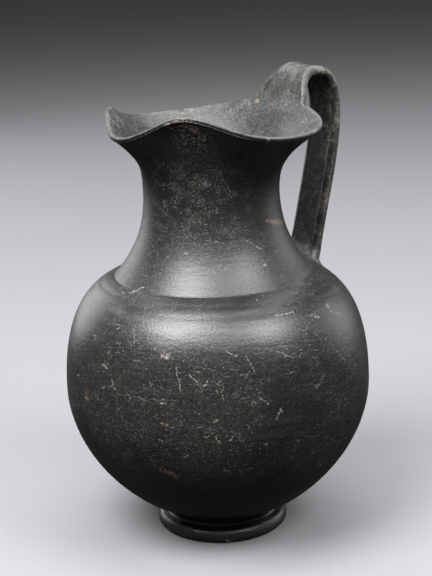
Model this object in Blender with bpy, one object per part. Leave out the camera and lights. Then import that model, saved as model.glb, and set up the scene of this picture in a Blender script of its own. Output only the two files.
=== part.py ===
"""Bucchero oinochoe: a black Etruscan wine jug with a trefoil mouth and a high strap handle.

The jug is one piece of fired clay, hollow and empty. It stands on its foot ring at the origin,
with +Z up, the handle over +X and the spout over -X. Lengths are in metres, angles in degrees.
"""

import bpy
from math import acos, cos, degrees, hypot, pi, radians, sin

# Foot ring and underside
FOOT_RADIUS = 0.0395
FOOT_BULGE_HEIGHT = 0.0040
FOOT_HEIGHT = 0.0085
FOOT_TOP_RADIUS = 0.0362
FOOT_STEM_RADIUS = 0.0335
SEAT_OUTER_RADIUS = 0.0372
SEAT_INNER_RADIUS = 0.0300
SEAT_EDGE = 0.0008
UNDERSIDE_RADIUS = 0.0275
UNDERSIDE_RECESS = 0.0045
STEM_RISE = 0.0012
FLOOR_THICKNESS = 0.0065
FLOOR_CORNER = 0.0035

# Body: the belly closes downward and the shoulder closes upward from the widest ring
BODY_RADIUS = 0.0905
WIDEST_HEIGHT = 0.0900
BELLY_DROP = 0.0855
SHOULDER_RISE = 0.0710
BODY_WALL = 0.0045
BELLY_FULLNESS = (1.85, 1.81)
SHOULDER_FULLNESS = (2.30, 5.00)

# Neck: a hollow curve from the ring where it meets the shoulder up to its waist
NECK_BASE_RADIUS = 0.0583
NECK_RADIUS = 0.0398
NECK_RISE = 0.0487
NECK_FLARE = 2.30
NECK_WALL = 0.0040
NECK_CORNER = 0.0017
INNER_NECK_CORNER = 0.0080

# Trefoil lip: radius and height above the waist, at the handle, side lobe, pinch and spout.
# The two pinches were pressed by hand and differ: the left one is seen with the spout ahead.
LIP_THICKNESS = 0.0034
LIP_FLARE = 2.10
BACK_RADIUS = 0.0530
LOBE_RADIUS = 0.0685
RIGHT_PINCH_RADIUS = 0.0572
LEFT_PINCH_RADIUS = 0.0540
SPOUT_RADIUS = 0.0627
BACK_RISE = 0.0476
LOBE_RISE = 0.0368
RIGHT_PINCH_RISE = 0.0485
LEFT_PINCH_RISE = 0.0497
SPOUT_RISE = 0.0372
LOBE_ANGLE = 71.0
LOBE_LOW_ANGLE = 78.0
PINCH_ANGLE = 141.0
LOBE_FULLNESS = 1.6
SPOUT_POINT = 1.4

# Strap handle: it grows out of the lip, loops over and comes down on the shoulder
STRAP_WIDTH = 0.0264
STRAP_THICKNESS = 0.0061
STRAP_DISH = 0.0005
STRAP_CREST_OUTSET = 0.0185
STRAP_CREST_RISE = 0.0187
STRAP_REACH = 0.0904
STRAP_REACH_DROP = 0.0270
STRAP_BASE_OUTSET = 0.0107
STRAP_BASE_LEAN = 9.0
STRAP_PULLS = (1.25, 1.25, 0.80)
BASE_FILLET = 0.0080
BASE_WEB = 0.0210
BASE_SPREAD = 0.0192
WEB_TOP = 0.07

# Grid: columns run round the axis, rings run up the outside and down the inside
SEGMENTS = 72
ROOT_COLUMNS = 5
BASE_COLUMNS = 3
BASE_ROWS = 7
BELLY_STEPS = 8
SHOULDER_STEPS = 6
INNER_BELLY_STEPS = 5
INNER_SHOULDER_STEPS = 4
STRAP_STEPS = (6, 5, 5)

# Clay
CLAY_COLOUR = (0.022, 0.022, 0.024, 1.0)
CLAY_ROUGHNESS = 0.38


def mix(first, second, share):
    return first + (second - first) * share


def ease(share):
    """0 to 1 with a level start and end."""
    return (1 - cos(pi * min(max(share, 0), 1))) / 2


def body_point(turn):
    """(radius, height) on the outside of the body: turn is -90 below, 0 at the widest, 90 above."""
    lower = turn < 0
    rise_power, radius_power = BELLY_FULLNESS if lower else SHOULDER_FULLNESS
    reach = -BELLY_DROP if lower else SHOULDER_RISE
    angle = radians(abs(turn))
    radius = BODY_RADIUS * cos(angle) ** (2 / radius_power)
    return radius, WIDEST_HEIGHT + reach * sin(angle) ** (2 / rise_power)


def body_turn(radius, fullness):
    """The turn, without its sign, at which the body has this radius."""
    return degrees(acos((radius / BODY_RADIUS) ** (fullness[1] / 2)))


def shoulder_point(radius):
    return body_point(body_turn(radius, SHOULDER_FULLNESS))


def waist_height():
    return shoulder_point(NECK_BASE_RADIUS)[1] + NECK_RISE


def neck_point(climb):
    """(radius, height) on the outside of the neck: climb is 0 at the shoulder, 1 at the waist."""
    radius = mix(NECK_RADIUS, NECK_BASE_RADIUS, abs(1 - climb) ** NECK_FLARE)
    return radius, waist_height() + NECK_RISE * (climb - 1)


def inside(curve, position, wall):
    """The point of an upward curve moved inward by the wall, square to the curve."""
    step = 1e-4
    before, after = curve(position - step), curve(position + step)
    along = (after[0] - before[0], after[1] - before[1])
    length = hypot(*along)
    radius, height = curve(position)
    return radius - wall * along[1] / length, height + wall * along[0] / length


def round_mouth(angle, values, lobe_angle, powers):
    """A smooth value at an angle from the handle, through back, lobe, pinch and spout."""
    stations = (0, lobe_angle, PINCH_ANGLE, 180)
    span = 0
    while angle > stations[span + 1]:
        span += 1
    share = ease((angle - stations[span]) / (stations[span + 1] - stations[span]))
    return mix(values[span], values[span + 1], share ** powers[span])


def rim_radius(angle):
    signed = (angle + 180) % 360 - 180
    pinch = RIGHT_PINCH_RADIUS if signed > 0 else LEFT_PINCH_RADIUS
    values = (BACK_RADIUS, LOBE_RADIUS, pinch, SPOUT_RADIUS)
    return round_mouth(abs(signed), values, LOBE_ANGLE, (1, LOBE_FULLNESS, SPOUT_POINT))


def rim_rise(angle):
    signed = (angle + 180) % 360 - 180
    pinch = RIGHT_PINCH_RISE if signed > 0 else LEFT_PINCH_RISE
    values = (BACK_RISE, LOBE_RISE, pinch, SPOUT_RISE)
    return round_mouth(abs(signed), values, LOBE_LOW_ANGLE, (1, LOBE_FULLNESS, 1))


def lip_frame(angle, climb):
    """Middle of the lip's wall, the way up along it and half its thickness; climb is 0 to 1."""
    waist_radius = NECK_RADIUS - NECK_WALL / 2
    spread = rim_radius(angle) - waist_radius
    rise = rim_rise(angle)
    middle = (waist_radius + spread * climb**LIP_FLARE, waist_height() + rise * climb)
    along = (spread * LIP_FLARE * climb ** (LIP_FLARE - 1), rise)
    length = hypot(*along)
    half = mix(NECK_WALL, LIP_THICKNESS, climb) / 2
    return middle, (along[0] / length, along[1] / length), half


def lip_point(angle, climb, side):
    """side is 1 on the outside of the lip and -1 on the inside."""
    (radius, height), along, half = lip_frame(angle, climb)
    return radius + side * half * along[1], height - side * half * along[0]


def edge_point(angle, roll):
    """A point on the rounded edge: roll is 0 on the outside, 90 on the crest, 180 inside."""
    (radius, height), along, half = lip_frame(angle, 1)
    out, up = half * cos(radians(roll)), half * (sin(radians(roll)) - 1)
    return (
        radius + out * along[1] + up * along[0],
        height - out * along[0] + up * along[1],
    )


def hermite(start, leave, end, arrive, share):
    """A smooth path between two points that leaves and arrives along the given vectors."""
    square, cube = share**2, share**3
    weights = (
        2 * cube - 3 * square + 1,
        cube - 2 * square + share,
        3 * square - 2 * cube,
        cube - square,
    )
    slopes = (
        6 * (square - share),
        3 * square - 4 * share + 1,
        6 * (share - square),
        3 * square - 2 * share,
    )
    given = (start, leave, end, arrive)
    point = [sum(w * g[i] for w, g in zip(weights, given)) for i in (0, 1)]
    along = [sum(s * g[i] for s, g in zip(slopes, given)) for i in (0, 1)]
    length = hypot(*along)
    return point, (along[0] / length, along[1] / length)


def strap_corners():
    """The strap's path as (point, direction): lip, crest, outermost and shoulder."""
    half = STRAP_THICKNESS / 2
    root, root_along, lip_half = lip_frame(0, 1)
    root = (root[0] - lip_half * root_along[0], root[1] - lip_half * root_along[1])
    top = waist_height() + BACK_RISE + STRAP_CREST_RISE - half
    crest = (BACK_RADIUS + STRAP_CREST_OUTSET, top)
    outermost = (STRAP_REACH - half, top - STRAP_REACH_DROP)
    base = shoulder_point(NECK_BASE_RADIUS + STRAP_BASE_OUTSET)
    lean = radians(STRAP_BASE_LEAN)
    return (
        (root, root_along),
        (crest, (1, 0)),
        (outermost, (0, -1)),
        (base, (-sin(lean), -cos(lean))),
    )


def strap_path(place):
    """Point and direction on the strap's path; place runs 0 to 3 past its four corners."""
    corners = strap_corners()
    span = min(int(place), 2)
    (start, leave), (end, arrive) = corners[span], corners[span + 1]
    pull = STRAP_PULLS[span] * hypot(end[0] - start[0], end[1] - start[1])
    return hermite(
        start,
        (leave[0] * pull, leave[1] * pull),
        end,
        (arrive[0] * pull, arrive[1] * pull),
        place - span,
    )


def strap_loop():
    """(across, side, roll) round a section: across is -1 to 1 and side 1 is the upper face."""
    columns = range(-ROOT_COLUMNS, ROOT_COLUMNS + 1)
    upper = [(column / ROOT_COLUMNS, 1, None) for column in columns]
    right = [(1, 0, 60), (1, 0, 120)]
    under = [(-column / ROOT_COLUMNS, -1, None) for column in columns]
    left = [(-1, 0, 120), (-1, 0, 60)]
    return upper + right + under + left


def strap_point(place, across, side, roll, root_half_width):
    """One point of the strap's section at a place on its path."""
    (out, height), along = strap_path(place)
    square = (-along[1], along[0])
    grown = ease(place)
    half = mix(LIP_THICKNESS, STRAP_THICKNESS, grown) / 2
    half_width = mix(root_half_width, STRAP_WIDTH / 2, ease(place * 0.5 + 0.5) * 2 - 1)
    flat = half_width - half
    if roll is None:
        y = across * flat
        lift = half * side - (STRAP_DISH * grown * (1 - across**2) if side > 0 else 0)
    else:
        y = across * (flat + half * sin(radians(roll)))
        lift = half * cos(radians(roll))
    return out + lift * square[0], y, height + lift * square[1]


def around(column, point):
    """A (radius, height) point turned to a column of the grid."""
    angle = 2 * pi * column / SEGMENTS
    return point[0] * cos(angle), point[0] * sin(angle), point[1]


def column_angle(column):
    return 360 * column / SEGMENTS


def turned(point):
    """A ring of the grid that is the same all the way round."""
    return [around(column, point) for column in range(SEGMENTS)]


def shaped(rule):
    """A ring of the grid whose (radius, height) follows a rule of the angle."""
    return [around(column, rule(column_angle(column))) for column in range(SEGMENTS)]


def foot_rings():
    rings = [
        (UNDERSIDE_RADIUS * 0.6, UNDERSIDE_RECESS),
        (UNDERSIDE_RADIUS, UNDERSIDE_RECESS),
        (SEAT_INNER_RADIUS - SEAT_EDGE, SEAT_EDGE),
        (SEAT_INNER_RADIUS, 0),
        ((SEAT_INNER_RADIUS + SEAT_OUTER_RADIUS) / 2, 0),
        (SEAT_OUTER_RADIUS, 0),
        (mix(SEAT_OUTER_RADIUS, FOOT_RADIUS, 0.75), FOOT_BULGE_HEIGHT * 0.35),
        (FOOT_RADIUS, FOOT_BULGE_HEIGHT),
        (mix(FOOT_RADIUS, FOOT_TOP_RADIUS, 0.4), mix(FOOT_BULGE_HEIGHT, FOOT_HEIGHT, 0.75)),
        (FOOT_TOP_RADIUS, FOOT_HEIGHT),
        (FOOT_STEM_RADIUS, FOOT_HEIGHT + STEM_RISE),
    ]
    return [turned(point) for point in rings]


def belly_turns(count, radius):
    """Turns from where the belly has this radius up to just under the widest ring."""
    first = -body_turn(radius, BELLY_FULLNESS)
    return [first * (1 - step / count) for step in range(count)]


def shoulder_turns(count, radius):
    """Turns from the widest ring up to just under where the shoulder has this radius."""
    last = body_turn(radius, SHOULDER_FULLNESS)
    return [last * step / count for step in range(count)]


def base_radii():
    """Radii of the shoulder's rings beside the strap's base, outermost first."""
    outermost = NECK_BASE_RADIUS + BASE_SPREAD
    innermost = NECK_BASE_RADIUS + NECK_CORNER
    steps = BASE_ROWS - 2
    return [mix(outermost, innermost, step / steps) for step in range(steps + 1)]


def build_rings():
    """Every ring, from the middle of the underside round to the middle of the floor inside."""
    rings = foot_rings()
    turns = belly_turns(BELLY_STEPS, FOOT_STEM_RADIUS + STEM_RISE)
    turns += shoulder_turns(SHOULDER_STEPS, base_radii()[0])
    rings += [turned(body_point(turn)) for turn in turns]
    base_row = len(rings)
    rings += [turned(shoulder_point(radius)) for radius in base_radii()]
    rings += [turned(neck_point(climb)) for climb in (0, WEB_TOP, 0.20, 0.38, 0.58, 0.80)]
    for climb in (0, 0.24, 0.45, 0.63, 0.79, 0.92):
        rings.append(shaped(lambda angle: lip_point(angle, climb, 1)))
    edge_row = len(rings)
    for roll in (0, 60, 120, 180):
        rings.append(shaped(lambda angle: edge_point(angle, roll)))
    for climb in (0.92, 0.78, 0.58, 0.30):
        rings.append(shaped(lambda angle: lip_point(angle, climb, -1)))
    rings += [turned(inside(neck_point, climb, NECK_WALL)) for climb in (0.88, 0.50, 0.15)]
    turns = [body_turn(NECK_BASE_RADIUS + INNER_NECK_CORNER, SHOULDER_FULLNESS)]
    turns += shoulder_turns(INNER_SHOULDER_STEPS, base_radii()[0])[::-1]
    turns += belly_turns(INNER_BELLY_STEPS, FOOT_STEM_RADIUS + FLOOR_CORNER)[::-1]
    rings += [turned(inside(body_point, turn, BODY_WALL)) for turn in turns]
    last_radius, last_height = inside(body_point, turns[-1], BODY_WALL)
    floor = UNDERSIDE_RECESS + FLOOR_THICKNESS
    for share in (0.66, 0.33):
        rings.append(turned((last_radius * share, mix(floor, last_height, share**2))))
    return rings, base_row, edge_row, floor


class Shell:
    """Vertices and faces of the jug, with each grid vertex made once, when it is first used."""

    def __init__(self, rings):
        self.rings = rings
        self.vertices = []
        self.faces = []
        self.made = {}

    def add(self, point):
        self.vertices.append(point)
        return len(self.vertices) - 1

    def grid(self, row, column):
        key = (row, column % SEGMENTS)
        if key not in self.made:
            self.made[key] = self.add(self.rings[row][key[1]])
        return self.made[key]

    def cell(self, row, column):
        self.faces.append(
            (
                self.grid(row, column),
                self.grid(row, column + 1),
                self.grid(row + 1, column + 1),
                self.grid(row + 1, column),
            )
        )

    def cap(self, row, height, facing_down):
        centre = self.add((0, 0, height))
        for column in range(SEGMENTS):
            pair = [self.grid(row, column), self.grid(row, column + 1)]
            self.faces.append((centre, *(pair[::-1] if facing_down else pair)))

    def bridge(self, first, second):
        """A tube of faces between two loops of the same length."""
        for index in range(len(first)):
            after = (index + 1) % len(first)
            self.faces.append((first[index], second[index], second[after], first[after]))


def root_loop(shell, edge_row):
    """The open slot in the lip that the strap grows from, in the order of strap_loop."""
    columns = list(range(-ROOT_COLUMNS, ROOT_COLUMNS + 1))
    loop = [shell.grid(edge_row + 3, column) for column in columns]
    loop += [shell.grid(edge_row + row, ROOT_COLUMNS) for row in (2, 1)]
    loop += [shell.grid(edge_row, column) for column in reversed(columns)]
    return loop + [shell.grid(edge_row + row, -ROOT_COLUMNS) for row in (1, 2)]


def base_loop(shell, base_row):
    """The open patch in the shoulder that the strap ends on, in the order of strap_loop."""
    columns = list(range(-BASE_COLUMNS, BASE_COLUMNS + 1))
    top = base_row + BASE_ROWS
    rows = list(range(base_row + 1, top))
    loop = [shell.grid(base_row, column) for column in columns]
    loop += [shell.grid(row, BASE_COLUMNS) for row in rows]
    loop += [shell.grid(top, column) for column in reversed(columns)]
    loop += [shell.grid(row, -BASE_COLUMNS) for row in reversed(rows)]
    lead = ROOT_COLUMNS - BASE_COLUMNS
    return loop[-lead:] + loop[:-lead]


def add_strap(shell, edge_row, base_row):
    """The strap, bridged loop by loop from the lip to the shoulder."""
    slot, patch = root_loop(shell, edge_row), base_loop(shell, base_row)
    sections = strap_loop()
    slot_points = [shell.vertices[vertex] for vertex in slot]
    root_half_width = max(point[1] for point in slot_points)
    last = strap_corners()[3][0]
    fall = waist_height() + BACK_RISE + STRAP_CREST_RISE - STRAP_REACH_DROP - last[1]
    ends = []
    for across, side, roll in sections:
        lift = side if roll is None else cos(radians(roll))
        ends.append(3 - mix(BASE_WEB, BASE_FILLET, (lift + 1) / 2) / fall)
    previous = slot
    places = [
        span + (step + 1) / steps for span, steps in enumerate(STRAP_STEPS) for step in range(steps)
    ]
    for place in places:
        points = []
        for (across, side, roll), end, slot_point in zip(sections, ends, slot_points):
            here = place if place <= 2 else mix(2, end, place - 2)
            point = strap_point(here, across, side, roll, root_half_width)
            start = strap_point(0, across, side, roll, root_half_width)
            fade = 1 - ease(here / 0.9)
            points.append(
                tuple(p + (s - q) * fade for p, s, q in zip(point, slot_point, start))
            )
        loop = [shell.add(point) for point in points]
        shell.bridge(previous, loop)
        previous = loop
    tops = points
    corners = [strap_point(3, *section, root_half_width) for section in sections]
    for share in (0.30, 0.60, 0.82):
        loop = []
        for top, corner, vertex in zip(tops, corners, patch):
            foot = shell.vertices[vertex]
            loop.append(
                shell.add(
                    tuple(
                        mix(mix(t, c, share), mix(c, f, share), share)
                        for t, c, f in zip(top, corner, foot)
                    )
                )
            )
        shell.bridge(previous, loop)
        previous = loop
    shell.bridge(previous, patch)


def make_jug():
    rings, base_row, edge_row, floor = build_rings()
    shell = Shell(rings)
    for row in range(len(rings) - 1):
        on_edge = edge_row <= row < edge_row + 3
        beside_base = base_row <= row < base_row + BASE_ROWS
        for column in range(SEGMENTS):
            signed = (column + SEGMENTS // 2) % SEGMENTS - SEGMENTS // 2
            if on_edge and -ROOT_COLUMNS <= signed < ROOT_COLUMNS:
                continue
            if beside_base and -BASE_COLUMNS <= signed < BASE_COLUMNS:
                continue
            shell.cell(row, column)
    shell.cap(0, UNDERSIDE_RECESS, True)
    shell.cap(len(rings) - 1, floor, False)
    add_strap(shell, edge_row, base_row)
    mesh = bpy.data.meshes.new("oinochoe")
    mesh.from_pydata(shell.vertices, [], shell.faces)
    mesh.validate()
    mesh.shade_smooth()
    mesh.set_sharp_from_angle(angle=radians(35))
    jug = bpy.data.objects.new("oinochoe", mesh)
    bpy.context.scene.collection.objects.link(jug)
    return jug


def clay_material():
    clay = bpy.data.materials.new("bucchero_clay")
    clay.use_nodes = True
    surface = clay.node_tree.nodes["Principled BSDF"]
    surface.inputs["Base Color"].default_value = CLAY_COLOUR
    surface.inputs["Roughness"].default_value = CLAY_ROUGHNESS
    surface.inputs["Metallic"].default_value = 0.0
    return clay


for leftover in list(bpy.data.objects):
    bpy.data.objects.remove(leftover)
make_jug().data.materials.append(clay_material())
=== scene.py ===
"""Looks of the bucchero oinochoe: a fine mesh of the jug, its burnished clay, the stage and camera.

The jug stands at the origin on +Z, its handle over +X and its spout over -X. Metres and degrees.
"""

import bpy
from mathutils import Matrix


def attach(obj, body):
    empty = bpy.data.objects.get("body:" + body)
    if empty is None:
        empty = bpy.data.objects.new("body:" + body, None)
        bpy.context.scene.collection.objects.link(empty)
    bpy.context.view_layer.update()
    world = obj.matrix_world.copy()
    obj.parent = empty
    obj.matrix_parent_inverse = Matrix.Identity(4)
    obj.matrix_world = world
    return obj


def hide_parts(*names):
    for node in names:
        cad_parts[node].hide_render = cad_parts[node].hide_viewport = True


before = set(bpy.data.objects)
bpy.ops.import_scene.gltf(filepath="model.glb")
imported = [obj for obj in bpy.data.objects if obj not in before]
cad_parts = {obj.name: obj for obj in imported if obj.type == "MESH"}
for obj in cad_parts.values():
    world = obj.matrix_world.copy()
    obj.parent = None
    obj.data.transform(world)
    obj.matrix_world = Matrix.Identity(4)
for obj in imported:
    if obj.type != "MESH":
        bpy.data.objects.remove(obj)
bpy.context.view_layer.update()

from math import acos, cos, degrees, hypot, pi, radians, sin

import bpy
import numpy as np
from mathutils import Matrix, Vector, noise

# Foot ring and underside
FOOT_RADIUS = 0.0395
FOOT_BULGE_HEIGHT = 0.0040
FOOT_HEIGHT = 0.0085
FOOT_TOP_RADIUS = 0.0362
FOOT_STEM_RADIUS = 0.0335
SEAT_OUTER_RADIUS = 0.0372
SEAT_INNER_RADIUS = 0.0300
SEAT_EDGE = 0.0008
UNDERSIDE_RADIUS = 0.0275
UNDERSIDE_RECESS = 0.0045
UNDERSIDE_CORNER = 0.0015
STEM_RISE = 0.0012
BELLY_OUTSET = 0.0030
FLOOR_THICKNESS = 0.0065
FLOOR_CORNER = 0.0035
# Rings that round the seat's outer edge and the corner above the foot: (outset, rise)
SEAT_ROUND = ((-0.0006, 0), (0.0006, 0.0002))
STEM_ROUND = ((0.0006, -0.0006), (0.0002, 0.0008))

# Body
BODY_RADIUS = 0.0905
WIDEST_HEIGHT = 0.0900
BELLY_DROP = 0.0855
SHOULDER_RISE = 0.0710
BODY_WALL = 0.0045
BELLY_FULLNESS = (1.85, 1.81)
SHOULDER_FULLNESS = (2.30, 5.00)

# Neck
NECK_BASE_RADIUS = 0.0583
NECK_RADIUS = 0.0398
NECK_RISE = 0.0487
NECK_FLARE = 2.30
NECK_WALL = 0.0040
NECK_CORNER = 0.0012
INNER_NECK_CORNER = 0.0080

# Trefoil lip
LIP_THICKNESS = 0.0034
LIP_FLARE = 2.10
BACK_RADIUS = 0.0530
LOBE_RADIUS = 0.0685
RIGHT_PINCH_RADIUS = 0.0572
LEFT_PINCH_RADIUS = 0.0540
SPOUT_RADIUS = 0.0627
BACK_RISE = 0.0476
LOBE_RISE = 0.0368
RIGHT_PINCH_RISE = 0.0485
LEFT_PINCH_RISE = 0.0497
SPOUT_RISE = 0.0372
LOBE_ANGLE = 71.0
LOBE_LOW_ANGLE = 78.0
PINCH_ANGLE = 141.0
LOBE_FULLNESS = 1.6
SPOUT_POINT = 1.4

# Outward curl of the far pinch's edge, and how far the wall under it is drawn in
CURL_ANGLE = 146
CURL_HALF_SPAN = 30
CURL_REACH = 0.0030
CURL_START = 0.72
CURL_DRAW = 0.0016

# Strap handle
STRAP_WIDTH = 0.0264
STRAP_THICKNESS = 0.0061
STRAP_DISH = 0.0005
STRAP_CREST_OUTSET = 0.0185
STRAP_CREST_RISE = 0.0187
STRAP_REACH = 0.0904
STRAP_REACH_DROP = 0.0270
STRAP_BASE_OUTSET = 0.0107
STRAP_BASE_LEAN = 9.0
STRAP_PULLS = (1.25, 1.25, 0.80)
BASE_FILLET = 0.0080
BASE_WEB = 0.0210
BASE_SPREAD = 0.0192
WEB_TOP = 0.07

# Grid of the cage, which the subdivisions then refine
SUBDIVISIONS = 2
FITTING_ROUNDS = 3
SEGMENTS = 90
ROOT_COLUMNS = 6
BASE_COLUMNS = 4
BASE_ROWS = 7
BELLY_STEPS = 8
SHOULDER_STEPS = 6
INNER_BELLY_STEPS = 3
INNER_SHOULDER_STEPS = 2
STRAP_STEPS = (6, 5, 5)
STRAP_TWIST = 0.055
STRAP_BASE_SHARES = (0.30, 0.60, 0.82)
OUTER_NECK_CLIMBS = (0, WEB_TOP, 0.20, 0.38, 0.58, 0.80)
INNER_NECK_CLIMBS = (0.80, 0.20)
OUTER_LIP_CLIMBS = (0, 0.26, 0.49, 0.67, 0.81, 0.91, 0.97)
INNER_LIP_CLIMBS = (0.95, 0.82, 0.60, 0.30)
EDGE_ROLLS = (0, 60, 120, 180)

# Unevenness of the hand-turned clay, all of it sunk into the surface and none of it at the seat
WOBBLE_DEPTH = 0.0004
WOBBLE_SCALE = 22.0
SEAT_FADE = 0.006
# Turning grooves at the shoulder: (height, depth, width), out to a share of the body's radius
GROOVES = (
    (0.1497, 0.00016, 0.0010),
    (0.1462, 0.00008, 0.0012),
    (0.1541, 0.00020, 0.0009),
)
GROOVE_LIMIT = 0.85

# Losses under the lip: (angle, climb, half width, half height, depth)
LIP_LOSSES = (
    (210.5, 0.945, 0.0034, 0.0013, 0.0012),
    (215.5, 0.960, 0.0030, 0.0012, 0.0012),
    (221.5, 0.940, 0.0016, 0.0024, 0.00035),
    (225.5, 0.890, 0.0024, 0.0026, 0.00030),
    (229.0, 0.800, 0.0026, 0.0024, 0.00025),
    (193.0, 0.900, 0.0012, 0.0010, 0.00035),
)
# Losses cut into the rim from above: (angle, half width, depth)
RIM_LOSSES = (
    (68.8, 0.0022, 0.0019),
    (63.5, 0.0012, 0.0006),
    (19.5, 0.0016, 0.0009),
    (219.0, 0.0008, 0.0007),
    (262.0, 0.0010, 0.0004),
    (292.0, 0.0013, 0.0005),
)
RIM_LOSS_REACH = 0.0060
RIM_LOSS_LIMIT = 0.012
# Chip in the foot: (angle, height, half width, half height, depth)
FOOT_CHIP = (239.5, 0.0026, 0.0024, 0.0015, 0.0010)
RAGGED_SCALE = 900
# Depth at which a loss counts as fully broken, and the bend at which an edge counts as fully worn
BROKEN_DEPTH = 0.0010
WORN_BEND = 150


def mix(first, second, share):
    return first + (second - first) * share


def ease(share):
    """0 to 1 with a level start and end."""
    return (1 - cos(pi * min(max(share, 0), 1))) / 2


def body_point(turn):
    """(radius, height) on the outside of the body: turn is -90 below, 0 at the widest, 90 above."""
    lower = turn < 0
    rise_power, radius_power = BELLY_FULLNESS if lower else SHOULDER_FULLNESS
    reach = -BELLY_DROP if lower else SHOULDER_RISE
    angle = radians(abs(turn))
    radius = BODY_RADIUS * cos(angle) ** (2 / radius_power)
    return radius, WIDEST_HEIGHT + reach * sin(angle) ** (2 / rise_power)


def body_turn(radius, fullness):
    """The turn, without its sign, at which the body has this radius."""
    return degrees(acos((radius / BODY_RADIUS) ** (fullness[1] / 2)))


def shoulder_point(radius):
    return body_point(body_turn(radius, SHOULDER_FULLNESS))


def waist_height():
    return shoulder_point(NECK_BASE_RADIUS)[1] + NECK_RISE


def neck_point(climb):
    """(radius, height) on the outside of the neck: climb is 0 at the shoulder, 1 at the waist."""
    radius = mix(NECK_RADIUS, NECK_BASE_RADIUS, abs(1 - climb) ** NECK_FLARE)
    return radius, waist_height() + NECK_RISE * (climb - 1)


def inside(curve, position, wall):
    """The point of an upward curve moved inward by the wall, square to the curve."""
    step = 1e-4
    before, after = curve(position - step), curve(position + step)
    along = (after[0] - before[0], after[1] - before[1])
    length = hypot(*along)
    radius, height = curve(position)
    return radius - wall * along[1] / length, height + wall * along[0] / length


def round_mouth(angle, values, lobe_angle, powers):
    """A smooth value at an angle from the handle, through back, lobe, pinch and spout."""
    stations = (0, lobe_angle, PINCH_ANGLE, 180)
    span = 0
    while angle > stations[span + 1]:
        span += 1
    share = ease((angle - stations[span]) / (stations[span + 1] - stations[span]))
    return mix(values[span], values[span + 1], share ** powers[span])


def rim_radius(angle):
    signed = (angle + 180) % 360 - 180
    pinch = RIGHT_PINCH_RADIUS if signed > 0 else LEFT_PINCH_RADIUS
    values = (BACK_RADIUS, LOBE_RADIUS, pinch, SPOUT_RADIUS)
    return round_mouth(abs(signed), values, LOBE_ANGLE, (1, LOBE_FULLNESS, SPOUT_POINT))


def rim_rise(angle):
    signed = (angle + 180) % 360 - 180
    pinch = RIGHT_PINCH_RISE if signed > 0 else LEFT_PINCH_RISE
    values = (BACK_RISE, LOBE_RISE, pinch, SPOUT_RISE)
    return round_mouth(abs(signed), values, LOBE_LOW_ANGLE, (1, LOBE_FULLNESS, 1))


def roll_out(angle, climb):
    """How far the far pinch's edge curls outward, with the wall under it drawn in."""
    away = abs((angle - CURL_ANGLE + 180) % 360 - 180)
    curl = CURL_REACH * max(0, (climb - CURL_START) / (1 - CURL_START)) ** 2
    return ease(1 - away / CURL_HALF_SPAN) * (curl - CURL_DRAW * ease(climb * 1.2))


def lip_frame(angle, climb):
    """Middle of the lip's wall, the way up along it and half its thickness; climb is 0 to 1."""
    waist_radius = NECK_RADIUS - NECK_WALL / 2
    spread = rim_radius(angle) - waist_radius
    rise = rim_rise(angle)

    def middle(part):
        radius = waist_radius + spread * part**LIP_FLARE + roll_out(angle, part)
        return radius, waist_height() + rise * part

    low, high = middle(max(climb - 0.01, 0)), middle(climb + 0.01)
    along = (high[0] - low[0], high[1] - low[1])
    length = hypot(*along)
    half = mix(NECK_WALL, LIP_THICKNESS, climb) / 2
    return middle(climb), (along[0] / length, along[1] / length), half


def lip_point(angle, climb, side):
    """side is 1 on the outside of the lip and -1 on the inside."""
    (radius, height), along, half = lip_frame(angle, climb)
    return radius + side * half * along[1], height - side * half * along[0]


def edge_point(angle, roll):
    """A point on the rounded edge: roll is 0 on the outside, 90 on the crest, 180 inside."""
    (radius, height), along, half = lip_frame(angle, 1)
    out, up = half * cos(radians(roll)), half * (sin(radians(roll)) - 1)
    return (
        radius + out * along[1] + up * along[0],
        height - out * along[0] + up * along[1],
    )


def hermite(start, leave, end, arrive, share):
    """A smooth path between two points that leaves and arrives along the given vectors."""
    square, cube = share**2, share**3
    weights = (
        2 * cube - 3 * square + 1,
        cube - 2 * square + share,
        3 * square - 2 * cube,
        cube - square,
    )
    slopes = (
        6 * (square - share),
        3 * square - 4 * share + 1,
        6 * (share - square),
        3 * square - 2 * share,
    )
    given = (start, leave, end, arrive)
    point = [sum(w * g[i] for w, g in zip(weights, given)) for i in (0, 1)]
    along = [sum(s * g[i] for s, g in zip(slopes, given)) for i in (0, 1)]
    length = hypot(*along)
    return point, (along[0] / length, along[1] / length)


def strap_corners():
    """The strap's path as (point, direction): lip, crest, outermost and shoulder."""
    half = STRAP_THICKNESS / 2
    root, root_along, lip_half = lip_frame(0, 1)
    root = (root[0] - lip_half * root_along[0], root[1] - lip_half * root_along[1])
    top = waist_height() + BACK_RISE + STRAP_CREST_RISE - half
    crest = (BACK_RADIUS + STRAP_CREST_OUTSET, top)
    outermost = (STRAP_REACH - half, top - STRAP_REACH_DROP)
    base = shoulder_point(NECK_BASE_RADIUS + STRAP_BASE_OUTSET)
    lean = radians(STRAP_BASE_LEAN)
    return (
        (root, root_along),
        (crest, (1, 0)),
        (outermost, (0, -1)),
        (base, (-sin(lean), -cos(lean))),
    )


def strap_path(place):
    """Point and direction on the strap's path; place runs 0 to 3 past its four corners."""
    corners = strap_corners()
    span = min(int(place), 2)
    (start, leave), (end, arrive) = corners[span], corners[span + 1]
    pull = STRAP_PULLS[span] * hypot(end[0] - start[0], end[1] - start[1])
    return hermite(
        start,
        (leave[0] * pull, leave[1] * pull),
        end,
        (arrive[0] * pull, arrive[1] * pull),
        place - span,
    )


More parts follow.
